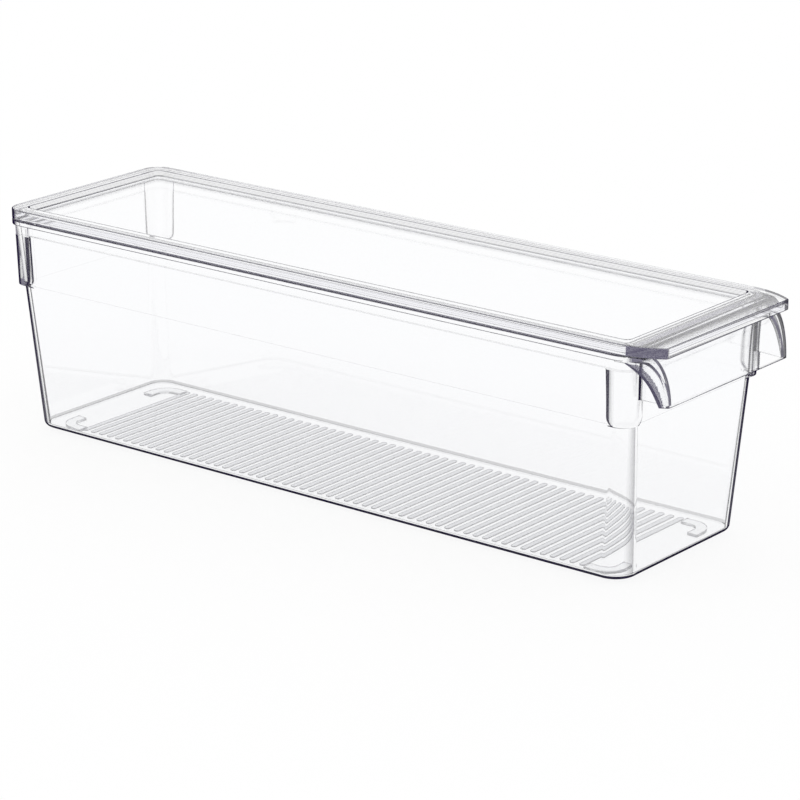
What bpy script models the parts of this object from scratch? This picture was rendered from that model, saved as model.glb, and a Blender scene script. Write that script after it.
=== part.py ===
"""A clear fridge bin with a lid.

The bin is one moulding: a tapered tub with a rim, four stacking bosses at its corners, a curved
grip lip with two webs at one end, a ribbed floor and four corner feet. The lid is the other: a
plate with a recessed panel, a locating wall that drops inside the rim, and a pull tab that covers
the grip lip. Lengths are in metres, +Z is up, and the origin is at the middle of the bottom.
"""

import math

import bmesh
import bpy

MM = 0.001

# The whole bin
BODY_LENGTH = 354.5 * MM
BODY_WIDTH = 105.2 * MM
RIM_TOP = 103.5 * MM
WALL = 1.9 * MM
FLOOR = 1.6 * MM
TAPER_SHARE = 0.056
LEAST_CORNER = 1.0 * MM
OVERRUN = 4.0 * MM
ARC_STEPS = 6

# Rim
RIM_CORNER = 8.8 * MM
RIM_THICKNESS = 2.5 * MM
BAND_INSET = 1.8 * MM
WALL_INSET = 2.6 * MM
SHOULDER_DROP = 6.6 * MM
SHOULDER_SLOPE = 0.6 * MM

# Bottom edge of the tub
BASE_CORNER = 10.7 * MM
BOTTOM_FILLET = 2.6 * MM
FILLET_STEPS = 3

# Stacking bosses at the corners
BOSS_LEDGE_DROP = 32.4 * MM
BOSS_LEDGE_SLOPE = 0.8 * MM
BOSS_INSET = 1.3 * MM
BOSS_TAPER_SHARE = 0.023
BOSS_CORNER = 7.0 * MM
BOSS_LENGTH = 13.25 * MM
BOSS_WIDTH = 12.1 * MM
BOSS_SIDE = 0.5 * MM

# Feet
FOOT_HEIGHT = 1.5 * MM
FOOT_INSET_X = 8.4 * MM
FOOT_INSET_Y = 6.8 * MM
FOOT_BAND = 5.0 * MM
FOOT_CORNER = 10.0 * MM
FOOT_ARM = 15.0 * MM

# Floor ribs
RIB_PITCH = 5.15 * MM
RIB_WIDTH = 2.6 * MM
RIB_DEPTH = 0.6 * MM
RIB_END_INSET = 25.4 * MM
RIB_SIDE_INSET = 7.8 * MM

# Grip lip
LIP_REACH = 13.5 * MM
LIP_CURVE = 11.7 * MM
LIP_DEPTH = 20.4 * MM
LIP_WALL = 2.4 * MM
LIP_DROP = 0.3 * MM
LIP_SIDE_INSET = 0.8 * MM
LIP_SWEEP = 14.0 * MM
SWEEP_LEAN_SHARE = 0.5
SWEEP_POWER = 4
LIP_STEPS = 8
WEB_INSET = 2.0 * MM
WEB_WALL = 2.0 * MM
WEB_RISE = 0.5 * MM

# Lid
LID_GAP = 0.3 * MM
LID_EDGE = 4.7 * MM
LID_PANEL = 2.1 * MM
BORDER_SIDE = 7.2 * MM
BORDER_END = 7.4 * MM
BORDER_GRIP_END = 6.4 * MM
RECESS_CORNER = 3.0 * MM
RECESS_SLOPE = 0.3 * MM
LOCATOR_WALL = 1.6 * MM
LOCATOR_DROP = 2.1 * MM
LOCATOR_CLEARANCE = 0.5 * MM

# Pull tab
TAB_REACH = 13.0 * MM
TAB_RUN = 21.5 * MM
TAB_DROP = 7.2 * MM

# Values that follow from those above
HALF_X = BODY_LENGTH / 2
HALF_Y = BODY_WIDTH / 2
BODY_X = -max(LIP_REACH, TAB_REACH) / 2
SHOULDER = RIM_TOP - SHOULDER_DROP - SHOULDER_SLOPE
LEDGE = RIM_TOP - BOSS_LEDGE_DROP
LID_BOTTOM = RIM_TOP + LID_GAP
BASE_HALF_X = HALF_X - WALL_INSET - TAPER_SHARE * (SHOULDER - FOOT_HEIGHT)
BASE_HALF_Y = HALF_Y - WALL_INSET - TAPER_SHARE * (SHOULDER - FOOT_HEIGHT)


def clear_scene():
    """Removes everything that the scene starts with."""
    for item in list(bpy.data.objects):
        bpy.data.objects.remove(item, do_unlink=True)


def clear_plastic(name):
    """Clear, hard, glossy plastic with a faint cool tint."""
    material = bpy.data.materials.new(name)
    material.use_nodes = True
    shader = material.node_tree.nodes["Principled BSDF"]
    shader.inputs["Base Color"].default_value = (0.93, 0.94, 0.98, 1.0)
    shader.inputs["Roughness"].default_value = 0.03
    shader.inputs["Metallic"].default_value = 0.0
    shader.inputs["IOR"].default_value = 1.57
    shader.inputs["Transmission Weight"].default_value = 1.0
    return material


def new_object(name, mesh_data, location=(0.0, 0.0, 0.0)):
    """Makes an object of a bmesh, in flat triangles that point out."""
    bmesh.ops.triangulate(mesh_data, faces=mesh_data.faces)
    bmesh.ops.recalc_face_normals(mesh_data, faces=mesh_data.faces)
    mesh = bpy.data.meshes.new(name)
    mesh_data.to_mesh(mesh)
    mesh_data.free()
    item = bpy.data.objects.new(name, mesh)
    item.location = location
    bpy.context.scene.collection.objects.link(item)
    return item


def finish(item, material):
    """Gives a moulding its plastic and smooth shading between its sharp edges."""
    item.data.materials.append(material)
    item.data.shade_smooth()
    item.data.set_sharp_from_angle(angle=math.radians(30))


def as_tool(item):
    """Marks a shape that only cuts or joins, so that it isn't a piece itself."""
    item.hide_render = True
    item.display_type = "WIRE"
    return item


def apply_tool(target, tool, operation):
    """Cuts the target with a tool, or joins the tool to it."""
    modifier = target.modifiers.new(tool.name, "BOOLEAN")
    modifier.operation = operation
    modifier.solver = "EXACT"
    modifier.object = as_tool(tool)


def add_loft(mesh_data, rings):
    """Skins rings that have equally many points, and closes both ends."""
    loops = [[mesh_data.verts.new(point) for point in ring] for ring in rings]
    for lower, upper in zip(loops, loops[1:]):
        for index in range(len(lower)):
            following = (index + 1) % len(lower)
            corners = (lower[index], lower[following], upper[following], upper[index])
            mesh_data.faces.new(corners)
    mesh_data.faces.new(list(reversed(loops[0])))
    mesh_data.faces.new(loops[-1])


def loft(name, rings, location=(0.0, 0.0, 0.0)):
    """One closed skin through a list of rings."""
    mesh_data = bmesh.new()
    add_loft(mesh_data, rings)
    return new_object(name, mesh_data, location)


def arc(centre, radius, start, end, steps):
    """Points along an arc, both ends included."""
    points = []
    for step in range(steps + 1):
        angle = math.radians(start + (end - start) * step / steps)
        points.append((centre[0] + radius * math.cos(angle), centre[1] + radius * math.sin(angle)))
    return points


def mirrored(quarter):
    """A closed outline from the points of its first quarter."""
    back = list(reversed(quarter))
    outline = list(quarter)
    outline += [(-x, y) for x, y in back]
    outline += [(-x, -y) for x, y in quarter]
    outline += [(x, -y) for x, y in back]
    return outline


def at_height(outline, height):
    """An outline as points in space."""
    return [(x, y, height) for x, y in outline]


def wall_at(height, inset=0.0):
    """Half sizes and corner radius of the tub's wall at a height, moved inwards by an inset."""
    rise = height - FOOT_HEIGHT
    share = rise / (SHOULDER - FOOT_HEIGHT)
    corner = BASE_CORNER + (RIM_CORNER - WALL_INSET - BASE_CORNER) * share
    spread = TAPER_SHARE * rise - inset
    return BASE_HALF_X + spread, BASE_HALF_Y + spread, max(corner - inset, LEAST_CORNER)


def boss_at(height, inset=0.0):
    """Half sizes and corner radius of the outline that the four bosses reach at a height."""
    spread = BOSS_INSET + BOSS_TAPER_SHARE * (RIM_TOP - height) + inset
    return HALF_X - spread, HALF_Y - spread, max(BOSS_CORNER - inset, LEAST_CORNER)


def tub_ring(height, wall, corner=None, inset=0.0):
    """A level ring of the tub: straight walls, with corners that may stand out as bosses."""
    wall_x, wall_y, _ = wall
    corner_x, corner_y, radius = corner or wall
    edge_x = min(HALF_X - BOSS_LENGTH + inset, corner_x - radius)
    edge_y = min(HALF_Y - BOSS_WIDTH + inset, corner_y - radius)
    quarter = [(wall_x, edge_y - BOSS_SIDE), (corner_x, edge_y)]
    quarter += arc((corner_x - radius, corner_y - radius), radius, 0, 90, ARC_STEPS)
    quarter += [(edge_x, corner_y), (edge_x - BOSS_SIDE, wall_y)]
    return at_height(mirrored(quarter), height)


def fillet_rings(bottom, radius, inset):
    """Rings round the tub's bottom edge, from the flat floor up to the wall."""
    rings = []
    for step in range(FILLET_STEPS + 1):
        angle = math.pi / 2 * step / FILLET_STEPS
        height = bottom + radius * (1 - math.cos(angle))
        inwards = inset + radius * (1 - math.sin(angle))
        rings.append(tub_ring(height, wall_at(height, inwards)))
    return rings


def tub_outside():
    """The tub's outer rings, from the floor's underside to the outer edge of the rim."""
    band = (HALF_X - BAND_INSET, HALF_Y - BAND_INSET, RIM_CORNER - BAND_INSET)
    rim = (HALF_X, HALF_Y, RIM_CORNER)
    rim_bottom = RIM_TOP - RIM_THICKNESS
    band_bottom = SHOULDER + SHOULDER_SLOPE
    ledge_top = LEDGE + BOSS_LEDGE_SLOPE
    rings = fillet_rings(FOOT_HEIGHT, BOTTOM_FILLET, 0.0)
    rings.append(tub_ring(LEDGE, wall_at(LEDGE)))
    rings.append(tub_ring(ledge_top, wall_at(ledge_top), boss_at(ledge_top)))
    rings.append(tub_ring(SHOULDER, wall_at(SHOULDER), boss_at(SHOULDER)))
    rings.append(tub_ring(band_bottom, band, boss_at(band_bottom)))
    rings.append(tub_ring(rim_bottom, band, boss_at(rim_bottom)))
    rings.append(tub_ring(rim_bottom, rim))
    rings.append(tub_ring(RIM_TOP, rim))
    return rings


def tub_inside():
    """The tub's inner rings, from the floor to the inner edge of the rim."""
    fillet = max(BOTTOM_FILLET - WALL, LEAST_CORNER)
    rings = fillet_rings(FOOT_HEIGHT + FLOOR, fillet, WALL)
    rings.append(tub_ring(RIM_TOP, wall_at(RIM_TOP, WALL), inset=WALL))
    return rings


def tab_outline(half_x, half_y, inset=0.0):
    """The first corner of the lid, where its side bends in towards the tip of the tab."""
    points = []
    for step in range(ARC_STEPS + 1):
        share = 1 - step / ARC_STEPS
        reach = TAB_REACH - TAB_RUN * (1 - share)
        points.append((half_x + reach - inset, half_y - inset - TAB_DROP * share * share))
    return points


def foot_outline(sign_x, sign_y):
    """The C-shaped outline of one foot, as seen from above."""
    outer_x = BASE_HALF_X - FOOT_INSET_X
    outer_y = BASE_HALF_Y - FOOT_INSET_Y
    centre = (outer_x - FOOT_CORNER, outer_y - FOOT_CORNER)
    points = [(outer_x, outer_y - FOOT_ARM)]
    points += arc(centre, FOOT_CORNER, 0, 90, ARC_STEPS)
    points += [(outer_x - FOOT_ARM, outer_y), (outer_x - FOOT_ARM, outer_y - FOOT_BAND)]
    points += arc(centre, FOOT_CORNER - FOOT_BAND, 90, 0, ARC_STEPS)
    points += [(outer_x - FOOT_BAND, outer_y - FOOT_ARM)]
    return [(sign_x * x, sign_y * y) for x, y in points]


def make_feet():
    """The four feet, which reach up into the floor that they stand under."""
    mesh_data = bmesh.new()
    for sign_x in (1, -1):
        for sign_y in (1, -1):
            outline = foot_outline(sign_x, sign_y)
            top = FOOT_HEIGHT + FLOOR / 2
            add_loft(mesh_data, [at_height(outline, 0.0), at_height(outline, top)])
    return new_object("feet_shape", mesh_data, (BODY_X, 0.0, 0.0))


def make_ribs():
    """The ribs across the underside of the floor, evenly spaced between the feet."""
    first = BASE_HALF_X - RIB_END_INSET
    half_length = BASE_HALF_Y - RIB_SIDE_INSET
    count = round(2 * first / RIB_PITCH) + 1
    pitch = 2 * first / (count - 1)
    mesh_data = bmesh.new()
    for index in range(count):
        middle = index * pitch - first
        quarter = [(RIB_WIDTH / 2, half_length)]
        outline = [(middle + x, y) for x, y in mirrored(quarter)]
        low = at_height(outline, FOOT_HEIGHT - RIB_DEPTH)
        high = at_height(outline, FOOT_HEIGHT + FLOOR / 2)
        add_loft(mesh_data, [low, high])
    return new_object("ribs_shape", mesh_data, (BODY_X, 0.0, 0.0))


def lip_profile(inset):
    """The side view of the grip lip: level, then bending down along a quarter ellipse."""
    top = RIM_TOP - LIP_DROP
    bottom = top - LIP_DEPTH
    front = HALF_X + LIP_REACH
    points = []
    for step in range(LIP_STEPS + 1):
        angle = math.pi / 2 * step / LIP_STEPS
        x = front - LIP_CURVE + (LIP_CURVE - inset) * math.sin(angle)
        z = bottom + (LIP_DEPTH - inset) * math.cos(angle)
        points.append((x, z))
    return points


def lip_side(x, inset):
    """How far from the middle the side of the grip lip is, at a place along the bin."""
    start = HALF_X + TAB_REACH - TAB_RUN
    share = max(x - start, 0.0) / TAB_RUN
    return HALF_Y - LIP_SIDE_INSET - TAB_DROP * share * share - inset


def lip_ring(back, front, height, inset):
    """A level ring of the grip lip, from its front edge back to where it meets the bin."""
    side = []
    for step in range(ARC_STEPS + 1):
        x = front + (back - front) * step / ARC_STEPS
        side.append((x, lip_side(x, inset)))
    return at_height(side + [(x, -y) for x, y in reversed(side)], height)


def lip_shell():
    """The grip lip as a hood that is open below and towards the bin."""
    root = HALF_X - RIM_CORNER
    back = root - OVERRUN
    outer = [lip_ring(root, x, z, 0.0) for x, z in lip_profile(0.0)]
    inner = [lip_ring(back, x, z, LIP_WALL) for x, z in lip_profile(LIP_WALL)]
    front, bottom = lip_profile(LIP_WALL)[-1]
    inner.append(lip_ring(back, front, bottom - OVERRUN, LIP_WALL))
    hood = loft("lip_shape", outer, (BODY_X, 0.0, 0.0))
    apply_tool(hood, loft("lip_hollow", inner, (BODY_X, 0.0, 0.0)), "DIFFERENCE")
    apply_tool(hood, lip_sweep(back, front - WEB_WALL / 2, bottom), "DIFFERENCE")
    apply_tool(hood, tub_core(bottom - OVERRUN), "DIFFERENCE")
    return hood


def tub_core(bottom):
    """The space inside the middle of the tub's walls, which the lip stays out of."""
    rings = []
    for height in (bottom, RIM_TOP + OVERRUN):
        rings.append(tub_ring(height, wall_at(height, WALL / 2)))
    return loft("tub_core", rings, (BODY_X, 0.0, 0.0))


def lip_sweep(back, front, bottom):
    """The cut that lets the lip's sides sweep up from its front edge to the rim."""
    rise = LIP_DEPTH - LIP_DROP - LIP_WALL
    low = bottom - OVERRUN
    profile = []
    for step in range(LIP_STEPS + 1):
        share = step / LIP_STEPS
        lean = SWEEP_LEAN_SHARE * share + (1 - SWEEP_LEAN_SHARE) * share**SWEEP_POWER
        profile.append((front - LIP_SWEEP * lean, bottom + rise * share))
    profile += [(back, bottom + rise), (back, low), (front, low)]
    reach = HALF_Y + OVERRUN
    sides = [[(x, sign * reach, z) for x, z in profile] for sign in (1, -1)]
    return loft("lip_sweep", sides, (BODY_X, 0.0, 0.0))


def make_webs():
    """The two upright webs between the bosses of the grip end and the inside of the lip."""
    low = RIM_TOP - LIP_DROP - LIP_DEPTH + WEB_RISE
    root = boss_at(low, WALL / 2)[0]
    profile = [(x, z) for x, z in lip_profile(LIP_WALL / 2) if z > low]
    outline = [(root, profile[0][1])] + profile + [(profile[-1][0], low), (root, low)]
    mesh_data = bmesh.new()
    for sign in (1, -1):
        inner = sign * (HALF_Y - BOSS_WIDTH + WEB_INSET) - WEB_WALL / 2
        layers = [[(x, inner + side, z) for x, z in outline] for side in (0.0, WEB_WALL)]
        add_loft(mesh_data, layers)
    return new_object("web_shape", mesh_data, (BODY_X, 0.0, 0.0))


def make_bin(material):
    """The whole bin as one moulding."""
    rings = tub_outside() + list(reversed(tub_inside()))
    tub = loft("bin", rings, (BODY_X, 0.0, 0.0))
    apply_tool(tub, lip_shell(), "UNION")
    apply_tool(tub, make_webs(), "UNION")
    apply_tool(tub, make_feet(), "UNION")
    apply_tool(tub, make_ribs(), "UNION")
    finish(tub, material)
    return tub


def rounded_quarter(half_x, half_y, radius):
    """One quarter of a rounded rectangle."""
    return arc((half_x - radius, half_y - radius), radius, 0, 90, ARC_STEPS)


def lid_ring(grip_quarter, far_quarter, height):
    """A level ring of the lid, whose grip end may differ from its far end."""
    far = list(reversed(far_quarter))
    back = list(reversed(grip_quarter))
    outline = list(grip_quarter)
    outline += [(-x, y) for x, y in far]
    outline += [(-x, -y) for x, y in far_quarter]
    outline += [(x, -y) for x, y in back]
    return at_height(outline, height)


def make_lid(material):
    """The lid: one closed skin from under its middle, round its edge, to its recessed panel."""
    inner_x, inner_y, inner_corner = wall_at(RIM_TOP - LOCATOR_DROP, WALL + LOCATOR_CLEARANCE)
    locator = rounded_quarter(inner_x, inner_y, inner_corner)
    core_corner = max(inner_corner - LOCATOR_WALL, LEAST_CORNER)
    core = rounded_quarter(inner_x - LOCATOR_WALL, inner_y - LOCATOR_WALL, core_corner)
    edge = rounded_quarter(HALF_X, HALF_Y, RIM_CORNER)
    tab = tab_outline(HALF_X, HALF_Y)
    recess_y = HALF_Y - BORDER_SIDE
    recess = rounded_quarter(HALF_X - BORDER_END, recess_y, RECESS_CORNER)
    grip_recess = rounded_quarter(HALF_X - BORDER_GRIP_END, recess_y, RECESS_CORNER)
    panel = [(x - RECESS_SLOPE, y - RECESS_SLOPE) for x, y in recess]
    grip_panel = [(x - RECESS_SLOPE, y - RECESS_SLOPE) for x, y in grip_recess]
    low = -LOCATOR_DROP
    rings = [
        lid_ring(core, core, 0.0),
        lid_ring(core, core, low),
        lid_ring(locator, locator, low),
        lid_ring(locator, locator, 0.0),
        lid_ring(tab, edge, 0.0),
        lid_ring(tab, edge, LID_EDGE),
        lid_ring(grip_recess, recess, LID_EDGE),
        lid_ring(grip_panel, panel, LID_PANEL),
    ]
    lid = loft("lid", rings, (BODY_X, 0.0, LID_BOTTOM))
    finish(lid, material)
    return lid


def main():
    clear_scene()
    make_bin(clear_plastic("bin_plastic"))
    make_lid(clear_plastic("lid_plastic"))


main()
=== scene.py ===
"""A clear fridge bin with its lid, dressed around the CAD frame."""

import math

import bmesh
import bpy
import numpy as np
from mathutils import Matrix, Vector


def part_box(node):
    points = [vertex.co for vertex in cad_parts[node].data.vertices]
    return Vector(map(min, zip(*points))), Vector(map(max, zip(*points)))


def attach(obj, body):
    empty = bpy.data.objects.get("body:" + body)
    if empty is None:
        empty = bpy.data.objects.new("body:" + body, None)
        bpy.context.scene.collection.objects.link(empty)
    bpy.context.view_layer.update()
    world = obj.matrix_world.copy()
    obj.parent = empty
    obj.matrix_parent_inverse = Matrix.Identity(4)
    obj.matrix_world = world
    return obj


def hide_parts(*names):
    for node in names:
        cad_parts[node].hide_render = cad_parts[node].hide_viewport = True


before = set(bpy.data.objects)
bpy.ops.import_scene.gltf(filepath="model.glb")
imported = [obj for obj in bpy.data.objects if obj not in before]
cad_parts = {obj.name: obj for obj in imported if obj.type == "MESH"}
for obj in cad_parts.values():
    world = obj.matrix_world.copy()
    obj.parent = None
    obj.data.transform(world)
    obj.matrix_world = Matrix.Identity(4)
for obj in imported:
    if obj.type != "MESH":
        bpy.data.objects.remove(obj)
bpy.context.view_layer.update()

bl_info = {
    "name": "Clear Lidded Fridge Bin",
    "version": (1, 0, 0),
    "blender": (4, 5, 0),
    "location": "View3D > Sidebar > Fridge Bin",
    "description": "Makes a clear fridge bin, its lid and a plain studio",
    "category": "Add Mesh",
}

MM = 0.001
TINY = 1e-9
SAME_PLACE = 0.002 * MM

# Marks that the mesh faces carry, most of them painted shade, and how bends are told apart
MARKS = ("ink", "upright", "painted_grey_shade", "painted_edgeways_shade", "front", "calm")
LEAST_TURN = 0.05
TIGHT_BEND = 0.35
LEVEL_SHARE = 0.5
SLANT = 0.15

# Steps along curves, and how shapes are cut and closed
SOFT_STEPS = 4
ARC_STEPS = 20
CURVE_STEPS = 36
SIDE_STEPS = 48
SHARP_ANGLE = 40.0
LONGEST_SOFT_SHARE = 0.45
OVERLAP = 4 * MM
SIDE_RUN = 4
ROOT_PART = 5
CAP_SCALE = (0.99, 0.99, 1.0)
SWEEP_SLOPE = 0.5
SWEEP_POWER = 4

# Painted shade on the edges of the tub, in place of the dark edges where clear plastic bends light
# away
BOTTOM_SHADE = 0.9
BOTTOM_SHADE_START = 0.5
BOTTOM_SHADE_END = 1.2
BOSS_SHADE = 0.9
LEDGE_SHADE = 0.3
SHOULDER_SHADE = 0.14
RIM_LOW_SHADE = 0.6
RIM_TOP_SHADE = 0.85
RIM_IN_SHADE = 0.2
FOOT_SHADE = 0.5
FOOT_PAINTED_SHADE = 0.3

# Painted shade by the step round a quarter of the tub, and where a boss's outer face is divided
BOSS_EDGE_SHADE = {31: 0.06, 32: 0.15, 33: 0.32, 34: 0.92, 35: 0.92, 36: 0.92, 37: 0.92, 38: 0.92}
CORNER_EDGE_SHADE = {12: 0.42, 13: 0.35, 14: 0.27, 15: 0.19, 16: 0.11, 17: 0.05}
BOSS_EDGE_SHARES = (0.13, 0.3, 0.48, 0.65)

# Painted shade on the edges of the lip and its webs
LIP_SHADE = 0.5
WEB_SHADE = 0.95
LIP_EDGE_SHADE = 0.85
EDGE_SHARE = 0.5

# Painted shade on the edges of the lid, and the height and darkness of its thin lines of painted
# shade
LID_TOP_SHADE = 0.6
LID_LOW_SHADE = 0.7
LOCATOR_SHADE = 0.3
RECESS_SHADE = 0.3
TAB_SHADE = 0.8
EDGE_SHADE_LINES = ((0.3, 0.35), (0.48, 0.22), (0.68, 0.3))
RECESS_SHADE_LINES = ((0.82, 0.5), (0.6, 0.4), (0.38, 0.45), (0.16, 0.35))
SHADE_LINE = 0.22 * MM

# The plastic, how its painted shade and glow are mixed in, and the studio
PLASTIC_IOR = 1.57
BIN_FACING_SHADE = (0.42, 0.6)
LID_FACING_SHADE = (0.3, 0.6)
INSIDE_SHADE_CUT = 0.6
EDGEWAYS_SHADE_SHARE = 0.9
MOST_REFLECTIONS = 3.5
MOST_PASSES = 10.5
FLOOR_GLOW = 0.9
FLOOR_HALF = 20.0
FLOOR_DROP = 0.2 * MM
SENSOR_WIDTH = 36.0

BIN_LOW, BIN_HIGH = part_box("bin")
LID_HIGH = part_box("lid")[1]


# Settings that a user may change


def length(name, description, millimetres):
    """A size setting, given in millimetres."""
    return bpy.props.FloatProperty(
        name=name,
        description=description,
        default=millimetres * MM,
        min=0.0,
        precision=5,
        unit="LENGTH",
        subtype="DISTANCE",
    )


def share(name, description, value):
    """A setting without a unit, from 0 to 1."""
    return bpy.props.FloatProperty(
        name=name, description=description, default=value, min=0.0, max=1.0, subtype="FACTOR"
    )


def colour(name, description, value):
    """A colour setting."""
    return bpy.props.FloatVectorProperty(
        name=name,
        description=description,
        default=value,
        size=3,
        min=0.0,
        max=1.0,
        subtype="COLOR",
    )


class TubSizes(bpy.types.PropertyGroup):
    """Sizes of the tub, its rim and its bosses."""

    half_x: length("Half length", "Half the length at the rim", 177.25)
    half_y: length("Half width", "Half the width at the rim", (BIN_HIGH.y - BIN_LOW.y) / 2 / MM)
    rim_top: length("Rim height", "Height of the rim's top", BIN_HIGH.z / MM)
    wall: length("Wall", "Thickness of the walls", 1.9)
    floor: length("Floor", "Thickness of the floor", 1.6)
    foot: length("Feet", "Height of the feet", 1.5)
    taper: share("Taper", "How much the walls lean out over their height", 0.056)
    rim_corner: length("Rim corner", "Radius of the rim's corners", 8.8)
    rim_thick: length("Rim thickness", "Height of the rim's outer edge", 2.5)
    band_inset: length("Band inset", "How far the band under the rim stands back", 1.8)
    wall_inset: length("Wall inset", "How far the top of the wall stands back", 2.6)
    shoulder_drop: length("Shoulder", "Depth of the band below the rim's top", 6.6)
    shoulder_slope: length("Shoulder slope", "Height of the slope below the band", 0.6)
    base_corner: length("Base corner", "Radius of the corners at the bottom", 10.7)
    bottom_fillet: length("Bottom rounding", "Radius of the tub's bottom edge", 2.6)
    ledge_drop: length("Boss depth", "How far the bosses reach below the rim's top", 32.4)
    ledge_slope: length("Boss ledge", "Height of the slope under each boss", 0.8)
    boss_inset: length("Boss inset", "How far the bosses stand back from the rim", 1.3)
    boss_taper: share("Boss taper", "How much the bosses lean out", 0.023)
    boss_corner: length("Boss corner", "Radius of the bosses' corners", 7.0)
    boss_length: length("Boss length", "Length of each boss along the bin", 13.25)
    boss_width: length("Boss width", "Width of each boss across the bin", 12.1)
    boss_side: length("Boss side", "Slope of the bosses' upright edges", 0.5)
    boss_round: length("Boss rounding", "Radius of the bosses' lower corners", 3.6)
    soft: length("Edge rounding", "Radius of the moulded edges", 0.5)


class BaseSizes(bpy.types.PropertyGroup):
    """Sizes of the feet and the floor ribs."""

    foot_inset_x: length("Foot inset along", "From the base's end to a foot", 8.4)
    foot_inset_y: length("Foot inset across", "From the base's side to a foot", 6.8)
    foot_band: length("Foot band", "Width of the feet's raised band", 5.0)
    foot_corner: length("Foot corner", "Radius of the feet's outer corner", 10.0)
    foot_arm: length("Foot arm", "Length of the feet's arms", 15.0)
    rib_pitch: length("Rib pitch", "Distance from rib to rib", 5.15)
    rib_width: length("Rib width", "Width of a rib", 2.6)
    rib_depth: length("Rib depth", "How far a rib stands out under the floor", 0.6)
    rib_end_inset: length("Rib end inset", "From the base's end to the first rib", 25.4)
    rib_side_inset: length("Rib side inset", "From the base's side to the ribs' ends", 7.8)
    rib_corner: length("Rib corner", "Radius of the ribs' corners", 0.9)
    soft: length("Edge rounding", "Radius of the ribs' and feet's lower edges", 0.35)


class LipSizes(bpy.types.PropertyGroup):
    """Sizes of the curved grip lip and its webs."""

    reach: length("Lip reach", "How far the lip stands out from the rim", 13.5)
    curve: length("Lip curve", "Length of the lip's bend", 11.7)
    depth: length("Lip depth", "Height of the lip", 20.4)
    wall: length("Lip wall", "Thickness of the lip", 2.4)
    drop: length("Lip drop", "How far the lip lies below the rim's top", 0.3)
    side_inset: length("Lip side inset", "How far the lip's sides stand back", 0.8)
    sweep: length("Lip sweep", "Length of the curve that lifts the lip's sides", 14.0)
    web_inset: length("Web inset", "From a boss's inner edge to its web", 2.0)
    web_wall: length("Web wall", "Thickness of the webs", 2.0)
    web_root: length("Web root", "Radius of the rounding where a web meets its boss", 0.7)
    web_rise: length("Web rise", "From the lip's lower edge up to the webs", 0.5)
    soft: length("Edge rounding", "Radius of the lip's edges", 0.5)


class LidSizes(bpy.types.PropertyGroup):
    """Sizes of the lid and its pull tab."""

    edge: length("Lid edge", "Thickness of the lid's raised border", 4.7)
    panel: length("Lid panel", "Thickness of the lid's recessed panel", 2.1)
    border_side: length("Side border", "Width of the border along the sides", 7.2)
    border_end: length("End border", "Width of the border at the far end", 7.4)
    border_grip: length("Grip end border", "Width of the border at the grip end", 6.4)
    recess_corner: length("Recess corner", "Radius of the recess's corners", 3.0)
    recess_slope: length("Recess slope", "Lean of the recess's walls", 0.3)
    locator_wall: length("Locator wall", "Thickness of the wall that drops into the rim", 1.6)
    locator_drop: length("Locator drop", "How far that wall drops", 2.1)
    locator_gap: length("Locator gap", "Play between that wall and the rim", 0.5)
    tab_reach: length("Tab reach", "How far the tab stands out from the rim", 13.0)
    tab_run: length("Tab run", "Length over which the lid narrows to the tab", 21.5)
    tab_drop: length("Tab drop", "How much each side narrows", 7.2)
    tab_corner: length("Tab corner", "Radius of the tab's corners", 0.9)
    soft: length("Edge rounding", "Radius of the lid's edges", 0.45)


class PlasticLook(bpy.types.PropertyGroup):
    """Colours of the clear plastic, and of the shade and light painted into it."""

    tint: colour("Tint", "Colour of the clear plastic", (0.988, 0.99, 0.996))
    # Painted shade: the grey that the ribs and feet show in place of the light their faces bend
    # away
    rib_painted_shade: colour("Rib tint", "Colour that the floor ribs show", (0.45, 0.46, 0.49))
    # Painted light and shade: a plain glow for paths that bounce too often in the plastic, pale in
    # the lid and dark in the bin
    painted_lid_light: colour("Light in the lid", "Light that stays in the lid", (0.9, 0.9, 0.93))
    painted_bin_shade: colour("Light in the bin", "Light that stays in the bin", (0.16, 0.15, 0.21))
    # Painted shade: a dark matte colour on the bends, where clear plastic bends light away
    dark: colour("Dark edge", "Colour of the edges that turn light away", (0.012, 0.007, 0.035))
    # Painted shade: a dark matte colour on the thick parts seen edgeways
    painted_edgeways_shade: colour("Deep edge", "Colour of the thick parts seen edgeways", (0.11, 0.10, 0.16))


class StageLook(bpy.types.PropertyGroup):
    """The plain studio."""

    floor: colour("Floor", "Colour of the floor", (1.0, 1.0, 1.0))
    light: share("Light", "Strength of the surrounding light", 1.0)
    lens: bpy.props.FloatProperty(
        name="Lens", description="Focal length in millimetres", default=150.14, min=1.0
    )
    eye: bpy.props.FloatVectorProperty(
        name="Eye",
        description="Where the camera stands",
        default=(0.8960, -1.1169, 0.5039),
        size=3,
        subtype="TRANSLATION",
        unit="LENGTH",
    )
    aim: bpy.props.FloatVectorProperty(
        name="Aim",
        description="The point that the camera looks at",
        default=(0.00973, 0.0, 0.0401),
        size=3,
        subtype="TRANSLATION",
        unit="LENGTH",
    )


# Shapes


def arc(centre, radius, start, end, steps=ARC_STEPS):
    """Points along an arc in the plan, both ends included."""
    angles = np.radians(np.linspace(start, end, steps + 1))
    points = np.column_stack((np.cos(angles), np.sin(angles))) * radius
    return points + np.array(centre)


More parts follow.
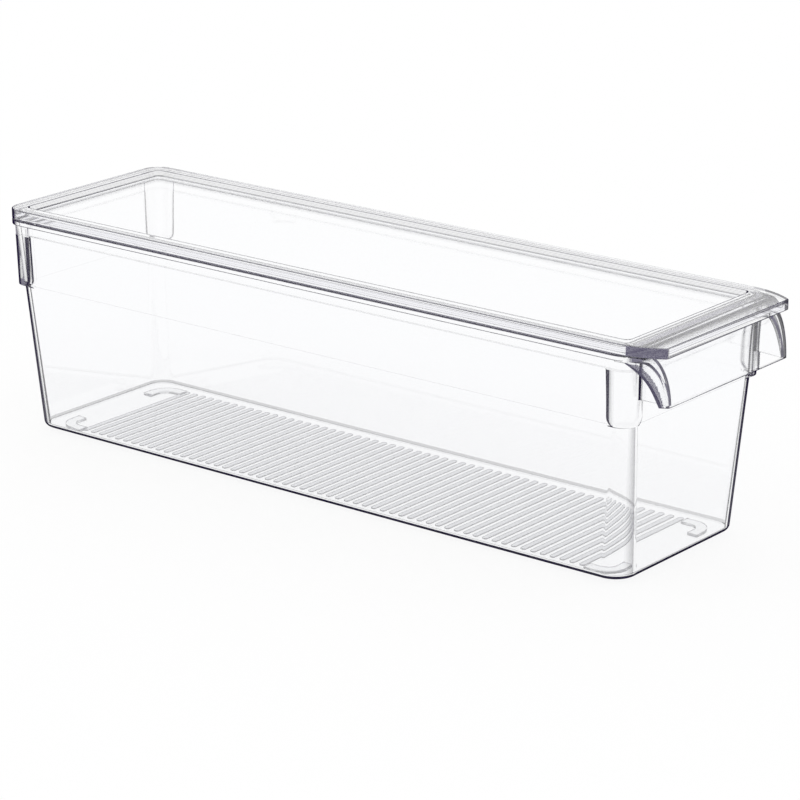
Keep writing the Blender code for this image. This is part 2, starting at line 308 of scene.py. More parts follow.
def bend(before, corner, after, radius, steps=SOFT_STEPS):
    """Points, or whole rings of points, that round a corner with a curve."""
    before, corner, after = (np.asarray(part, float) for part in (before, corner, after))
    ends = []
    for neighbour in (before, after):
        distance = np.linalg.norm(neighbour - corner, axis=-1, keepdims=True)
        part = np.minimum(radius / np.maximum(distance, TINY), LONGEST_SOFT_SHARE)
        ends.append(corner + (neighbour - corner) * part)
    curve = []
    for step in range(steps + 1):
        t = step / steps
        curve.append(ends[0] * (1 - t) ** 2 + corner * 2 * t * (1 - t) + ends[1] * t * t)
    return curve


def station(ring, radius=0.0, bend_ink=0.0, **strip):
    """A ring, how far the skin is rounded there, how much painted shade that rounding takes, and
    the marks of the strip from there to the next ring."""
    return np.asarray(ring, float), radius, bend_ink, strip


def soften(stations):
    """Rounds a skin at its stations. Returns its rings and the marks of the strips between."""
    rings, marks = [], []
    for index, (ring, radius, ink, strip) in enumerate(stations):
        curve = [ring]
        if radius and 0 < index < len(stations) - 1:
            curve = bend(stations[index - 1][0], ring, stations[index + 1][0], radius)
        rings += curve
        rounding = {name: strip.get(name, 0.0) for name in ("upright", "calm")}
        rounding["ink"] = ink
        marks += [rounding] * (len(curve) - 1) + [strip]
    return rings, marks[:-1]


def mirrored(quarter):
    """A closed outline from the points of its first quarter."""
    quarter = np.asarray(quarter, float)
    back = quarter[::-1]
    return np.vstack((quarter, back * (-1, 1), quarter * (-1, -1), back * (1, -1)))


def on_quarters(steps, count):
    """Painted shade marks, seen from outside, for a whole mirrored outline, from those for some
    steps of its quarter.
    """
    marks = {}
    for step, value in steps.items():
        for edge in (step, 2 * count - 2 - step, 2 * count + step, 4 * count - 2 - step):
            marks[edge] = {"front": value}
    return marks


def at_height(outline, height):
    """An outline as points in space."""
    outline = np.asarray(outline, float)
    return np.column_stack((outline, np.full(len(outline), height)))


def new_shape():
    """An empty bmesh with the face layers that hold the painted shade and the other marks."""
    mesh_data = bmesh.new()
    for name in MARKS:
        mesh_data.faces.layers.float.new(name)
    return mesh_data


def add_loft(mesh_data, rings, marks=None):
    """Skins rings that have equally many points, and closes both ends."""
    layers = mesh_data.faces.layers.float
    loops = [[mesh_data.verts.new(point) for point in ring] for ring in rings]
    marks = marks or [{}] * (len(rings) - 1)
    for lower, upper, strip in zip(loops, loops[1:], marks):
        around = strip.get("around", {})
        plain = {name: value for name, value in strip.items() if name != "around"}
        for index in range(len(lower)):
            following = (index + 1) % len(lower)
            corners = (lower[index], lower[following], upper[following], upper[index])
            face = mesh_data.faces.new(corners)
            for name, value in {**plain, **around.get(index, {})}.items():
                face[layers[name]] = value
    for cap in (list(reversed(loops[0])), loops[-1]):
        face = mesh_data.faces.new(cap)
        face[layers["painted_grey_shade"]] = marks[0].get("painted_grey_shade", 0.0)


def new_object(name, mesh_data):
    """Makes an object of a bmesh, with its faces in triangles that point out."""
    bmesh.ops.remove_doubles(mesh_data, verts=mesh_data.verts, dist=SAME_PLACE)
    bmesh.ops.triangulate(mesh_data, faces=mesh_data.faces)
    bmesh.ops.recalc_face_normals(mesh_data, faces=mesh_data.faces)
    mesh = bpy.data.meshes.new(name)
    mesh_data.to_mesh(mesh)
    mesh_data.free()
    item = bpy.data.objects.new(name, mesh)
    bpy.context.scene.collection.objects.link(item)
    return item


def loft(name, rings, marks=None):
    """One closed skin through a list of rings."""
    mesh_data = new_shape()
    add_loft(mesh_data, rings, marks)
    return new_object(name, mesh_data)


def combine(target, tool, operation):
    """Cuts the target with a tool or joins the tool to it, and removes the tool."""
    modifier = target.modifiers.new(tool.name, "BOOLEAN")
    modifier.operation = operation
    modifier.solver = "EXACT"
    modifier.object = tool
    shown = target.evaluated_get(bpy.context.evaluated_depsgraph_get())
    mesh = bpy.data.meshes.new_from_object(shown)
    target.modifiers.clear()
    old = target.data
    target.data = mesh
    bpy.data.meshes.remove(old)
    bpy.data.objects.remove(tool)


def store_bends(mesh_data):
    """Stores how far the surface bends at each face, and paints shade on the tight upright bends.
    """
    turns = mesh_data.faces.layers.float.new("turn")
    layers = mesh_data.faces.layers.float
    ink, upright, calm = layers["ink"], layers["upright"], layers["calm"]
    for face in mesh_data.faces:
        turned = sum(
            edge.calc_length() * edge.calc_face_angle(0.0)
            for edge in face.edges
            if len(edge.link_faces) == 2
        )
        bent = turned / max(2 * face.calc_area(), TINY) * MM
        face[turns] = min(max((bent - LEAST_TURN) / LEAST_TURN, 0.0), 1.0) * (1 - face[calm])
        tight = min(max(bent - TIGHT_BEND, 0.0) / TIGHT_BEND, 1.0)
        if abs(face.normal.z) < LEVEL_SHARE:
            face[ink] = max(face[ink], face[upright] * tight)


def mark_faces(item, name, value, chosen):
    """Gives a mark to the faces of a skin that a test chooses by their middle and their normal."""
    mesh_data = bmesh.new()
    mesh_data.from_mesh(item.data)
    layer = mesh_data.faces.layers.float[name]
    for face in mesh_data.faces:
        if chosen(face.calc_center_median(), face.normal):
            face[layer] = value
    mesh_data.to_mesh(item.data)
    mesh_data.free()


def finish_moulding(item, name):
    """Cleans a finished skin, stores its bends and shades it smooth between sharp edges."""
    mesh_data = bmesh.new()
    mesh_data.from_mesh(item.data)
    bmesh.ops.remove_doubles(mesh_data, verts=mesh_data.verts, dist=SAME_PLACE)
    bmesh.ops.triangulate(mesh_data, faces=mesh_data.faces)
    store_bends(mesh_data)
    mesh_data.to_mesh(item.data)
    mesh_data.free()
    item.name = name
    item.data.name = name
    item.data.shade_smooth()
    item.data.set_sharp_from_angle(angle=math.radians(SHARP_ANGLE))
    weighted = item.modifiers.new("weighted_normals", "WEIGHTED_NORMAL")
    weighted.mode = "FACE_AREA"
    weighted.keep_sharp = True


# The tub


def tub_heights(s):
    """Heights of the tub's shoulder and of the ledges under its bosses."""
    shoulder = s.rim_top - s.shoulder_drop - s.shoulder_slope
    return shoulder, s.rim_top - s.ledge_drop


def base_half(s):
    """Half sizes of the tub's base."""
    lean = s.wall_inset + s.taper * (tub_heights(s)[0] - s.foot)
    return s.half_x - lean, s.half_y - lean


def wall_at(s, height, inset=0.0):
    """Half sizes and corner radius of the tub's wall at a height, moved inwards by an inset."""
    rise = height - s.foot
    part = rise / (tub_heights(s)[0] - s.foot)
    corner = s.base_corner + (s.rim_corner - s.wall_inset - s.base_corner) * part
    spread = s.taper * rise - inset
    base_x, base_y = base_half(s)
    return base_x + spread, base_y + spread, max(corner - inset, MM)


def boss_at(s, height, inset=0.0):
    """Half sizes and corner radius of the outline that the bosses reach at a height."""
    spread = s.boss_inset + s.boss_taper * (s.rim_top - height) + inset
    return s.half_x - spread, s.half_y - spread, max(s.boss_corner - inset, MM)


def tub_ring(s, height, wall, corner=None, inset=0.0, shift=0.0):
    """A level ring of the tub: straight walls, with corners that may stand out as bosses."""
    wall_x, wall_y, _ = wall
    corner_x, corner_y, radius = corner or wall
    edge_x = min(s.half_x - s.boss_length + inset + shift, corner_x - radius)
    edge_y = min(s.half_y - s.boss_width + inset + shift, corner_y - radius)
    side = s.boss_side
    turn = arc((corner_x - radius, corner_y - radius), radius, 0, 90)
    low = [(wall_x, edge_y - SIDE_RUN * side), (wall_x, edge_y - side)]
    low += [(corner_x, edge_y), turn[0]]
    high = [turn[-1], (edge_x, corner_y), (edge_x - side, wall_y)]
    high.append((edge_x - SIDE_RUN * side, wall_y))
    band = [turn[-1] + (np.array(high[1]) - turn[-1]) * part for part in BOSS_EDGE_SHARES]
    quarter = bend(*low[:3], s.soft) + bend(*low[1:], s.soft) + list(turn) + band
    quarter += bend(*high[:3], s.soft) + bend(*high[1:], s.soft)
    return at_height(mirrored(quarter), height)


def fillet_stations(s, bottom, radius, inset):
    """Rings round the tub's bottom edge, from the flat floor up to the wall."""
    stations = []
    for angle in np.linspace(0, math.pi / 2, 2 * SOFT_STEPS + 1):
        height = bottom + radius * (1 - math.cos(angle))
        inwards = inset + radius * (1 - math.sin(angle))
        # Painted shade on the outer bottom edge and, by the step round, on the outer corner arcs
        low_edge = BOTTOM_SHADE_START < angle < BOTTOM_SHADE_END and not inset
        ink = BOTTOM_SHADE if low_edge else 0.0
        ring = tub_ring(s, height, wall_at(s, height, inwards))
        around = {} if inset else on_quarters(CORNER_EDGE_SHADE, len(ring) // 4)
        stations.append(station(ring, ink=ink, around=around))
    return stations


def boss_stations(s, ledge, top):
    """Rings up a boss, whose lower corners are rounded as seen from the side."""
    stations = []
    ledge_top = ledge + s.ledge_slope
    for angle in np.linspace(0, math.pi / 2, 2 * SOFT_STEPS + 1):
        height = ledge_top + s.boss_round * (1 - math.cos(angle))
        shift = s.boss_round * (1 - math.sin(angle))
        ring = tub_ring(s, height, wall_at(s, height), boss_at(s, height), shift=shift)
        first = not stations
        soft, ink = (s.soft, LEDGE_SHADE) if first else (0.0, 0.0)
        # Painted shade on the boss's ledge, its upright bends and along its outer face
        around = on_quarters(BOSS_EDGE_SHADE, len(ring) // 4)
        stations.append(station(ring, soft, ink, upright=BOSS_SHADE, around=around))
    ring = tub_ring(s, top, wall_at(s, top), boss_at(s, top))
    stations.append(station(ring, s.soft / 2, SHOULDER_SHADE, calm=1.0))
    return stations


def tub_outside(s):
    """The tub's outer rings, from the floor's underside to the outer edge of the rim."""
    shoulder, ledge = tub_heights(s)
    inset = s.band_inset
    band = (s.half_x - inset, s.half_y - inset, s.rim_corner - inset)
    rim = (s.half_x, s.half_y, s.rim_corner)
    rim_bottom = s.rim_top - s.rim_thick
    band_bottom = shoulder + s.shoulder_slope
    stations = fillet_stations(s, s.foot, s.bottom_fillet, 0.0)
    stations.append(station(tub_ring(s, ledge, wall_at(s, ledge)), s.soft / 2, upright=BOSS_SHADE))
    stations += boss_stations(s, ledge, shoulder)
    low_band = tub_ring(s, band_bottom, band, boss_at(s, band_bottom))
    high_band = tub_ring(s, rim_bottom, band, boss_at(s, rim_bottom))
    stations += [
        station(low_band, s.soft / 2, SHOULDER_SHADE, calm=1.0),
        station(high_band, s.soft / 2),
        station(tub_ring(s, rim_bottom, rim), s.soft, RIM_LOW_SHADE),
        station(tub_ring(s, s.rim_top, rim), s.soft, RIM_TOP_SHADE),
    ]
    return stations


def tub_inside(s):
    """The tub's inner rings, from the floor to the inner edge of the rim."""
    fillet = max(s.bottom_fillet - s.wall, MM)
    stations = fillet_stations(s, s.foot + s.floor, fillet, s.wall)
    top = tub_ring(s, s.rim_top, wall_at(s, s.rim_top, s.wall), inset=s.wall)
    stations.append(station(top, s.soft, RIM_IN_SHADE))
    return stations


def rib_shapes(s, b):
    """The ribs across the underside of the floor, evenly spaced between the feet."""
    base_x, base_y = base_half(s)
    first, half_y = base_x - b.rib_end_inset, base_y - b.rib_side_inset
    count = round(2 * first / b.rib_pitch) + 1
    half, corner = b.rib_width / 2, b.rib_corner
    quarter = arc((half - corner, half_y - corner), corner, 0, 90, SOFT_STEPS)
    low = s.foot - b.rib_depth
    inner = mirrored(quarter * ((half - b.soft) / half, 1 - b.soft / half_y))
    mesh_data = new_shape()
    for middle in np.linspace(-first, first, count):
        outline = mirrored(quarter) + (middle, 0.0)
        stations = [
            station(at_height(inner + (middle, 0.0), low)),
            station(at_height(outline, low), b.soft),
            station(at_height(outline, s.foot + s.floor / 2)),
        ]
        rings, marks = soften(stations)
        # The ribs' faces take the painted grey shade
        add_loft(mesh_data, rings[1:], [{**strip, "painted_grey_shade": 1.0} for strip in marks[1:]])
    return new_object("rib_shapes", mesh_data)


def foot_outline(s, b, inset, signs):
    """The C-shaped outline of one foot, as seen from above."""
    base_x, base_y = base_half(s)
    outer_x, outer_y = base_x - b.foot_inset_x, base_y - b.foot_inset_y
    centre = (outer_x - b.foot_corner, outer_y - b.foot_corner)
    arm, band = b.foot_arm, b.foot_band
    points = [(outer_x - inset, outer_y - arm + inset)]
    points += list(arc(centre, b.foot_corner - inset, 0, 90))
    points += [(outer_x - arm + inset, outer_y - inset)]
    points += [(outer_x - arm + inset, outer_y - band + inset)]
    points += list(arc(centre, b.foot_corner - band + inset, 90, 0))
    points += [(outer_x - band + inset, outer_y - arm + inset)]
    return np.array(points) * signs


def foot_shapes(s, b):
    """The four feet, which reach up into the floor that they stand under."""
    mesh_data = new_shape()
    for signs in ((1, 1), (1, -1), (-1, 1), (-1, -1)):
        outline = foot_outline(s, b, 0.0, signs)
        stations = [
            station(at_height(foot_outline(s, b, b.soft, signs), 0.0)),
            station(at_height(outline, 0.0), b.soft, FOOT_SHADE),
            station(at_height(outline, s.foot + s.floor / 2)),
        ]
        rings, marks = soften(stations)
        add_loft(mesh_data, rings[1:], [{**strip, "painted_grey_shade": FOOT_PAINTED_SHADE} for strip in marks[1:]])
    return new_object("foot_shapes", mesh_data)


# The grip lip


def lip_profile(s, g, inset):
    """The side view of the grip lip: level, then bending down along a quarter ellipse."""
    top = s.rim_top - g.drop
    front = s.half_x + g.reach
    angles = np.linspace(0, math.pi / 2, CURVE_STEPS + 1)
    along = front - g.curve + (g.curve - inset) * np.sin(angles)
    return list(zip(along, top - g.depth + (g.depth - inset) * np.cos(angles)))


def lip_ring(s, g, lid, back, front, height, inset):
    """A level ring of the grip lip, from its front edge back to where it meets the bin."""
    start = s.half_x + lid.tab_reach - lid.tab_run
    along = np.linspace(front, back, SIDE_STEPS + 1)
    part = np.maximum(along - start, 0.0) / lid.tab_run
    across = s.half_y - g.side_inset - lid.tab_drop * part**2 - inset
    side = np.column_stack((along, across))
    corner = bend((front, 0.0), side[0], side[1], lid.tab_corner)
    half = np.vstack((corner, side[1:]))
    return at_height(np.vstack((half, half[::-1] * (1, -1))), height)


def sweep_curve(g, front, bottom):
    """The curve along which the lip's sides sweep up from its front edge to the rim."""
    rise = g.depth - g.drop - g.wall
    curve = []
    for part in np.linspace(0, 1, CURVE_STEPS + 1):
        along = g.sweep * (SWEEP_SLOPE * part + (1 - SWEEP_SLOPE) * part**SWEEP_POWER)
        curve.append((front - along, bottom + rise * part))
    return curve


def lip_sweep(s, g, back, front, bottom):
    """The cut that shapes the lip's sides; its cut faces carry painted shade for thick plastic
    seen edgeways.
    """
    low = bottom - OVERLAP
    profile = sweep_curve(g, front, bottom)
    profile += [(back, profile[-1][1]), (back, low), (front, low)]
    reach = s.half_y + OVERLAP
    sides = [[(x, side * reach, z) for x, z in profile] for side in (1, -1)]
    return loft("lip_sweep", sides, [{"painted_edgeways_shade": 1.0}])


def on_lip_edge(s, g, at, normal):
    """True for the outer faces of the lip's sides along their swept edges."""
    front, bottom = lip_profile(s, g, g.wall)[-1]
    sweep, heights = zip(*sweep_curve(g, front - g.wall / 2, bottom))
    along, levels = zip(*lip_profile(s, g, 0.0)[::-1])
    start, end = np.interp(at.z, heights, sweep), np.interp(at.z, levels, along)
    outside = normal.y * at.y > 0 and abs(normal.y) > LEVEL_SHARE
    return outside and bottom < at.z < heights[-1] and at.x < start + EDGE_SHARE * (end - start)


def tub_core(s, bottom):
    """The space inside the middle of the tub's walls, which the lip stays out of."""
    rings = []
    for height in (bottom, s.rim_top + OVERLAP):
        rings.append(tub_ring(s, height, wall_at(s, height, s.wall / 2)))
    return loft("tub_core", rings)


def lip_shape(s, g, lid):
    """The grip lip as a hood that is open below and towards the bin."""
    root = s.half_x - s.rim_corner
    back = root - OVERLAP
    outer = [lip_ring(s, g, lid, root, x, z, 0.0) for x, z in lip_profile(s, g, 0.0)]
    front, low = lip_profile(s, g, 0.0)[-1]
    outer = [station(ring) for ring in outer[:-1]] + [station(outer[-1], g.soft, LIP_SHADE)]
    outer.append(station(lip_ring(s, g, lid, root, front - g.soft, low, g.soft)))
    inner = [lip_ring(s, g, lid, back, x, z, g.wall) for x, z in lip_profile(s, g, g.wall)]
    front, bottom = lip_profile(s, g, g.wall)[-1]
    inner.append(lip_ring(s, g, lid, back, front, bottom - OVERLAP, g.wall))
    hood = loft("lip_shape", *soften(outer))
    combine(hood, loft("lip_hollow", inner), "DIFFERENCE")
    combine(hood, lip_sweep(s, g, back, front - g.wall / 2, bottom), "DIFFERENCE")
    # Painted shade on the outer faces along the lip's swept edges, as thick plastic seen edgeways
    mark_faces(hood, "painted_edgeways_shade", LIP_EDGE_SHADE, lambda at, normal: on_lip_edge(s, g, at, normal))
    combine(hood, tub_core(s, bottom - OVERLAP), "DIFFERENCE")
    return hood


def web_shapes(s, g):
    """The two upright webs between the bosses of the grip end and the inside of the lip."""
    low = s.rim_top - g.drop - g.depth + g.web_rise
    root = boss_at(s, low, s.wall / 2)[0]
    profile = [(x, z) for x, z in lip_profile(s, g, g.wall / 2) if z > low]
    outline = [(root, profile[0][1])] + profile + [(profile[-1][0], low), (root, low)]
    mesh_data = new_shape()
    for sign in (1, -1):
        inner = sign * (s.half_y - s.boss_width + g.web_inset) - g.web_wall / 2
        layers = [[(x, inner + side, z) for x, z in outline] for side in (0.0, g.web_wall)]
        add_loft(mesh_data, layers)
    return new_object("web_shapes", mesh_data)


def web_roots(s, g):
    """The roundings where the webs meet the bosses."""
    low, high = s.rim_top - g.drop - g.depth + g.web_rise + TINY, s.rim_top - g.drop - g.wall
    mesh_data = new_shape()
    for sign in (1, -1):
        middle = sign * (s.half_y - s.boss_width + g.web_inset)
        rings = []
        for height in np.linspace(low + g.soft / ROOT_PART, high, 3):
            face_x = boss_at(s, height)[0]
            wide, thin = g.web_wall / 2 + g.web_root, g.web_wall / 2 - g.soft / ROOT_PART
            quarter = [(face_x - g.web_root, wide), (face_x, wide), (face_x + g.web_root, thin)]
            ring = quarter + [(x, -y) for x, y in reversed(quarter)]
            rings.append(at_height(np.array(ring) + (0.0, middle), height))
        # Painted shade on the roundings where the webs meet the bosses
        add_loft(mesh_data, rings, [{"ink": WEB_SHADE}] * (len(rings) - 1))
    return new_object("web_roots", mesh_data)


# The lid


def rounded_quarter(half_x, half_y, radius):
    """One quarter of a rounded rectangle."""
    return arc((half_x - radius, half_y - radius), radius, 0, 90)


def tab_quarter(s, lid, inset=0.0):
    """The lid's outline at a corner of the grip end, where its side bends in to the tab's tip."""
    part = np.linspace(1, 0, ARC_STEPS - SOFT_STEPS + 1)
    along = s.half_x + lid.tab_reach - lid.tab_run * (1 - part) - inset
    across = s.half_y - inset - lid.tab_drop * part * part
    side = np.column_stack((along, across))
    corner = bend((along[0], 0.0), side[0], side[1], lid.tab_corner, SOFT_STEPS)
    return np.vstack((corner, side[1:]))


def lid_ring(grip_quarter, far_quarter, height):
    """A level ring of the lid, whose grip end may differ from its far end."""
    grip, far = np.asarray(grip_quarter), np.asarray(far_quarter)
    parts = (grip, far[::-1] * (-1, 1), far * (-1, -1), grip[::-1] * (1, -1))
    return at_height(np.vstack(parts), height)


def on_tab_side(s, lid, at, normal):
    """True for the upright faces where the lid's sides bend in to the tab's tip."""
    start = s.half_x + lid.tab_reach - lid.tab_run
    return at.x > start and abs(normal.z) < SLANT and SLANT < normal.x < 1 - SLANT


def shade_lines(start, end, lines):
    """Thin lines of painted shade, seen from outside, along an upright strip of the lid, between
    the outlines at its two edges.
    """
    first, last = lid_ring(*start), lid_ring(*end)
    half_share = SHADE_LINE / 2 / abs(end[2] - start[2])
    stations = []
    for part, ink in sorted(lines):
        for side, mark in ((-half_share, ink), (half_share, 0.0)):
            ring = first + (last - first) * (part + side)
            stations.append(station(ring, front=mark, upright=TAB_SHADE))
    return stations


def lid_stations(s, lid):
    """The lid's rings from under its middle, round its edge, to its recessed panel."""
    locator = wall_at(s, s.rim_top - lid.locator_drop, s.wall + lid.locator_gap)
    locator_ring = rounded_quarter(*locator)
    inner_x, inner_y, inner_corner = (size - lid.locator_wall for size in locator)
    core = rounded_quarter(inner_x, inner_y, max(inner_corner, MM))
    edge, tab = rounded_quarter(s.half_x, s.half_y, s.rim_corner), tab_quarter(s, lid)
    recess_y = s.half_y - lid.border_side
    recess = rounded_quarter(s.half_x - lid.border_end, recess_y, lid.recess_corner)
    grip_recess = rounded_quarter(s.half_x - lid.border_grip, recess_y, lid.recess_corner)
    panel, grip_panel = recess - lid.recess_slope, grip_recess - lid.recess_slope
    low = -lid.locator_drop
    # The third value of a station is the painted shade on its rounding
    return [
        station(lid_ring(core, core, 0.0) * CAP_SCALE),
        station(lid_ring(core, core, 0.0), lid.soft),
        station(lid_ring(core, core, low), lid.soft, LOCATOR_SHADE),
        station(lid_ring(locator_ring, locator_ring, low), lid.soft, LOCATOR_SHADE),
        station(lid_ring(locator_ring, locator_ring, 0.0), lid.soft),
        station(lid_ring(tab, edge, 0.0), lid.soft, LID_LOW_SHADE, upright=TAB_SHADE),
        *shade_lines((tab, edge, 0.0), (tab, edge, lid.edge), EDGE_SHADE_LINES),
        station(lid_ring(tab, edge, lid.edge), lid.soft, LID_TOP_SHADE),
        station(lid_ring(grip_recess, recess, lid.edge), lid.soft, RECESS_SHADE),
        *shade_lines((grip_recess, recess, lid.edge), (grip_panel, panel, lid.panel), RECESS_SHADE_LINES),
        station(lid_ring(grip_panel, panel, lid.panel), lid.soft, RECESS_SHADE),
        station(lid_ring(grip_panel, panel, lid.panel) * CAP_SCALE),
    ]


# Materials


class Number:
    """A number in a node tree. Python's operators on it add Math nodes."""

    def __init__(self, graph, socket):
        self.graph = graph
        self.socket = socket

    def math(self, operation, *values):
        """One Math node on this number and others."""
        inputs = dict(enumerate(values))
        node = self.graph.add("ShaderNodeMath", {"operation": operation}, inputs)
        return Number(self.graph, node.outputs[0])

    def __add__(self, other):
        return self.math("ADD", self, other)

    def __radd__(self, other):
        return self.math("ADD", other, self)

    def __sub__(self, other):
        return self.math("SUBTRACT", self, other)

    def __rsub__(self, other):
        return self.math("SUBTRACT", other, self)

    def __mul__(self, other):
        return self.math("MULTIPLY", self, other)

    def __rmul__(self, other):
        return self.math("MULTIPLY", other, self)

    def __truediv__(self, other):
        return self.math("DIVIDE", self, other)

    def __rtruediv__(self, other):
        return self.math("DIVIDE", other, self)

    def __pow__(self, other):
        return self.math("POWER", self, other)

    def above(self, start, end):
        """A smooth step from 0 at start to 1 at end."""
        settings = {"interpolation_type": "SMOOTHSTEP"}
        inputs = {"Value": self, "From Min": start, "From Max": end}
        node = self.graph.add("ShaderNodeMapRange", settings, inputs)
        return Number(self.graph, node.outputs[0])

    def most(self, other):
        """The larger of this number and another."""
        return self.math("MAXIMUM", self, other)

    def over(self, limit):
        """1 where the number is over a limit, and 0 elsewhere."""
        return self.math("GREATER_THAN", self, limit)


class Graph:
    """The node tree of a material or of the world."""

    def __init__(self, owner):
        owner.use_nodes = True
        self.tree = owner.node_tree
        self.tree.nodes.clear()

    def add(self, kind, settings=None, inputs=None):
        """Adds a node of a type, with its settings first and then its sockets' values or links."""
        node = self.tree.nodes.new(kind)
        for key, value in (settings or {}).items():
            setattr(node, key, value)
        for key, value in (inputs or {}).items():
            if isinstance(value, Number):
                value = value.socket
            if isinstance(value, bpy.types.NodeSocket):
                self.tree.links.new(value, node.inputs[key])
            else:
                node.inputs[key].default_value = value
        return node

    def number(self, kind, settings=None, inputs=None, output=0):
        """A node's output as a number."""
        return Number(self, self.add(kind, settings, inputs).outputs[output])

    def mixed(self, factor, first, second):
        """A colour between two colours."""
        inputs = {"Factor": factor, "A": first, "B": second}
        node = self.add("ShaderNodeMix", {"data_type": "RGBA"}, {})
        for key, value in inputs.items():
            socket = self.colour_socket(node, key)
            if isinstance(value, Number):
                value = value.socket
            if isinstance(value, bpy.types.NodeSocket):
                self.tree.links.new(value, socket)
            else:
                socket.default_value = value
        return next(out for out in node.outputs if out.type == "RGBA")

    @staticmethod
    def colour_socket(node, key):
        """The Mix node's socket of that name that the colour mode uses."""
        wanted = "VALUE" if key == "Factor" else "RGBA"
        return next(s for s in node.inputs if s.name == key and s.type == wanted)


def rgba(colour_value):
    """A colour setting with full alpha."""
    return (*colour_value, 1.0)


def clear_plastic(name, look, painted_late_light, facing_shade_range):
    """Clear, glossy plastic with painted shade on its bends and marked strips, and with a painted
    glow in place of the light that stays in it."""
    material = bpy.data.materials.new(name)
    graph = Graph(material)
    marks = {
        mark: graph.number("ShaderNodeAttribute", {"attribute_name": mark}, output="Fac")
        for mark in ("ink", "turn", "painted_grey_shade", "painted_edgeways_shade", "front")
    }
    # Painted shade: a dark outline on bends that face away from the view, by Layer Weight
    facing = graph.number("ShaderNodeLayerWeight", None, {"Blend": 0.5}, output="Facing")
    inside = graph.number("ShaderNodeNewGeometry", output="Backfacing")
    outline = marks["turn"] * facing.above(*facing_shade_range)
    # The painted shade is weaker where a ray meets the surface from inside
    dark = outline.most(marks["ink"]) * (1 - inside * INSIDE_SHADE_CUT)
    dark = dark.most(marks["front"] * (1 - inside))
    painted_shade_share = dark.most(marks["painted_edgeways_shade"] * EDGEWAYS_SHADE_SHARE)
    # Painted shade: grey on the ribs and feet
    base = graph.mixed(marks["painted_grey_shade"], rgba(look.tint), rgba(look.rib_painted_shade))
    clear = graph.add(
        "ShaderNodeBsdfPrincipled",
        None,
        {"Base Color": base, "Roughness": 0.0, "IOR": PLASTIC_IOR, "Transmission Weight": 1.0},
    )
    # Painted shade: the dark matte colour mixed in on bends and on thick parts seen edgeways
    painted_shade_colour = graph.mixed(marks["painted_edgeways_shade"], rgba(look.dark), rgba(look.painted_edgeways_shade))
    painted_shade_surface = graph.add(
        "ShaderNodeBsdfPrincipled",
        None,
        {"Base Color": painted_shade_colour, "Roughness": 1.0, "Specular IOR Level": 0.0},
    )
    edged = graph.add(
        "ShaderNodeMixShader", None, {0: painted_shade_share, 1: clear.outputs[0], 2: painted_shade_surface.outputs[0]}
    )
    path = graph.add("ShaderNodeLightPath")
    inner = Number(graph, path.outputs["Glossy Depth"])
    depth = Number(graph, path.outputs["Ray Depth"])
    # Painted light and shade: paths that have reflected or passed through too often take a plain
    # glow instead
    painted_late_glow = graph.add("ShaderNodeEmission", None, {"Color": rgba(painted_late_light), "Strength": 1.0})
    late = inner.over(MOST_REFLECTIONS).most(depth.over(MOST_PASSES))
    whole = graph.add(
        "ShaderNodeMixShader", None, {0: late, 1: edged.outputs[0], 2: painted_late_glow.outputs[0]}
    )
    graph.add("ShaderNodeOutputMaterial", None, {"Surface": whole.outputs[0]})
    return material


def stage_white(name, look):
    """A white that the camera, reflections and clear plastic see at full strength."""
    material = bpy.data.materials.new(name)
    graph = Graph(material)
    path = graph.add("ShaderNodeLightPath")
    seen = Number(graph, path.outputs["Is Camera Ray"])
    seen = seen.most(Number(graph, path.outputs["Is Glossy Ray"]))
    seen = seen.most(Number(graph, path.outputs["Is Transmission Ray"]))
    plain = graph.add("ShaderNodeBsdfDiffuse", None, {"Color": rgba(look.floor)})
    bright = graph.add("ShaderNodeEmission", None, {"Color": rgba(look.floor), "Strength": 1.0})
    mix = graph.add(
        "ShaderNodeMixShader",
        None,
        {0: seen * FLOOR_GLOW, 1: plain.outputs[0], 2: bright.outputs[0]},
    )
    graph.add("ShaderNodeOutputMaterial", None, {"Surface": mix.outputs[0]})
    return material


def light_world(look):
    """Plain white light from all round."""
    world = bpy.data.worlds.new("studio_light")
    bpy.context.scene.world = world
    graph = Graph(world)
    background = graph.add(
        "ShaderNodeBackground", None, {"Color": rgba(look.floor), "Strength": look.light}
    )
    graph.add("ShaderNodeOutputWorld", None, {"Surface": background.outputs[0]})


# Operators


def place(item, node, material):
    """Puts a moulding in the CAD node's place."""
    item.data.materials.clear()
    item.data.materials.append(material)
    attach(item, node)
    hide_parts(node)


class FRIDGEBIN_OT_bin(bpy.types.Operator):
    """Makes the bin: tub, rim, bosses, ribbed floor, feet and grip lip in one moulding"""

    bl_idname = "fridge_bin.make_bin"
    bl_label = "Bin"

    def execute(self, context):
        scene = context.scene
        s, b, g, lid = scene.tub_sizes, scene.base_sizes, scene.lip_sizes, scene.lid_sizes
        look = scene.plastic_look
        outside, inside = tub_outside(s), tub_inside(s)
        tub = loft("bin_moulding", *soften(outside + inside[::-1]))
        combine(tub, lip_shape(s, g, lid), "UNION")
        combine(tub, web_shapes(s, g), "UNION")
        combine(tub, web_roots(s, g), "UNION")
        combine(tub, foot_shapes(s, b), "UNION")
        combine(tub, rib_shapes(s, b), "UNION")
        finish_moulding(tub, "clear_bin")
        tub.location.x = -max(g.reach, lid.tab_reach) / 2
        plastic = clear_plastic("bin_clear", look, look.painted_bin_shade, BIN_FACING_SHADE)
        place(tub, "bin", plastic)
        return {"FINISHED"}


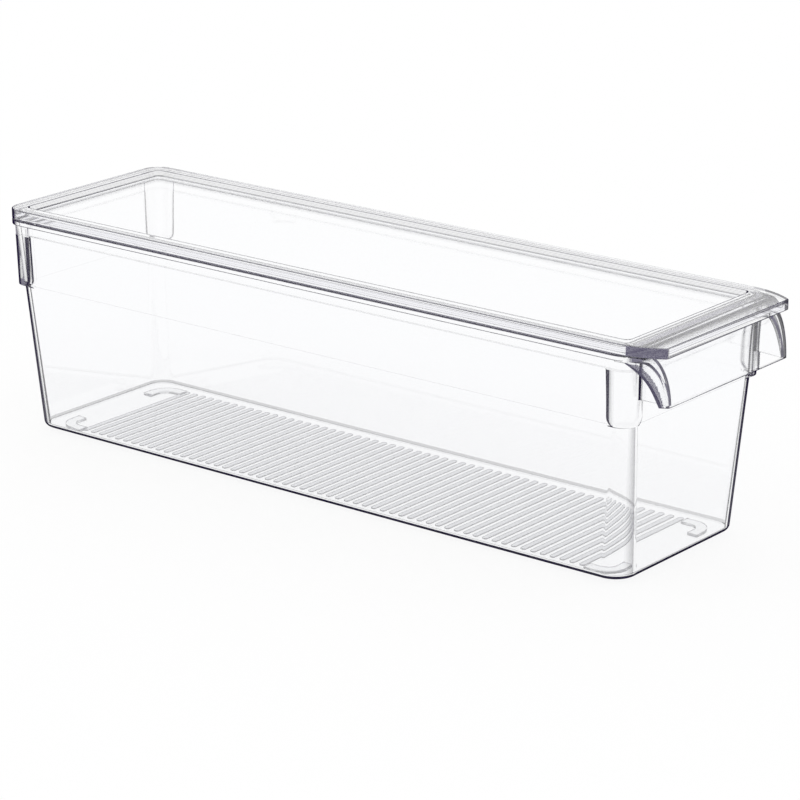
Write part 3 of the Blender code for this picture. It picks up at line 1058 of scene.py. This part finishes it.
class FRIDGEBIN_OT_lid(bpy.types.Operator):
    """Makes the lid with its recessed panel, locating wall and pull tab"""

    bl_idname = "fridge_bin.make_lid"
    bl_label = "Lid"

    def execute(self, context):
        scene = context.scene
        s, g, lid = scene.tub_sizes, scene.lip_sizes, scene.lid_sizes
        look = scene.plastic_look
        item = loft("lid_moulding", *soften(lid_stations(s, lid)))
        # Painted shade on the faces where the lid narrows to the tab, as thick plastic seen
        # edgeways
        mark_faces(item, "painted_edgeways_shade", 1.0, lambda at, normal: on_tab_side(s, lid, at, normal))
        finish_moulding(item, "clear_lid")
        item.location = (-max(g.reach, lid.tab_reach) / 2, 0.0, LID_HIGH.z - lid.edge)
        plastic = clear_plastic("lid_clear", look, look.painted_lid_light, LID_FACING_SHADE)
        place(item, "lid", plastic)
        return {"FINISHED"}


class FRIDGEBIN_OT_stage(bpy.types.Operator):
    """Makes the plain floor, the light and the camera"""

    bl_idname = "fridge_bin.make_stage"
    bl_label = "Stage"

    def execute(self, context):
        scene = context.scene
        look = scene.stage_look
        mesh_data = bmesh.new()
        bmesh.ops.create_grid(mesh_data, x_segments=1, y_segments=1, size=FLOOR_HALF)
        mesh = bpy.data.meshes.new("studio_floor")
        mesh_data.to_mesh(mesh)
        mesh_data.free()
        floor = bpy.data.objects.new("studio_floor", mesh)
        floor.location.z = -FLOOR_DROP
        scene.collection.objects.link(floor)
        mesh.materials.append(stage_white("studio_white", look))
        light_world(look)
        camera = bpy.data.objects.new("camera", bpy.data.cameras.new("camera"))
        scene.collection.objects.link(camera)
        camera.data.lens = look.lens
        camera.data.sensor_width = SENSOR_WIDTH
        camera.location = look.eye
        direction = Vector(look.aim) - Vector(look.eye)
        camera.rotation_euler = direction.to_track_quat("-Z", "Y").to_euler()
        scene.camera = camera
        scene.view_settings.view_transform = "Standard"
        return {"FINISHED"}


class FRIDGEBIN_PT_panel(bpy.types.Panel):
    """Lists what the add-on makes"""

    bl_idname = "FRIDGEBIN_PT_panel"
    bl_label = "Fridge Bin"
    bl_space_type = "VIEW_3D"
    bl_region_type = "UI"
    bl_category = "Fridge Bin"

    def draw(self, context):
        for operator in OPERATORS:
            self.layout.operator(operator.bl_idname)


GROUPS = {
    "tub_sizes": TubSizes,
    "base_sizes": BaseSizes,
    "lip_sizes": LipSizes,
    "lid_sizes": LidSizes,
    "plastic_look": PlasticLook,
    "stage_look": StageLook,
}
OPERATORS = (FRIDGEBIN_OT_bin, FRIDGEBIN_OT_lid, FRIDGEBIN_OT_stage)
CLASSES = (*GROUPS.values(), *OPERATORS, FRIDGEBIN_PT_panel)


def register():
    for item in CLASSES:
        bpy.utils.register_class(item)
    for name, group in GROUPS.items():
        setattr(bpy.types.Scene, name, bpy.props.PointerProperty(type=group))


def unregister():
    for name in GROUPS:
        delattr(bpy.types.Scene, name)
    for item in reversed(CLASSES):
        bpy.utils.unregister_class(item)


def main():
    register()
    bpy.ops.fridge_bin.make_bin()
    bpy.ops.fridge_bin.make_lid()
    bpy.ops.fridge_bin.make_stage()


if __name__ == "__main__":
    main()
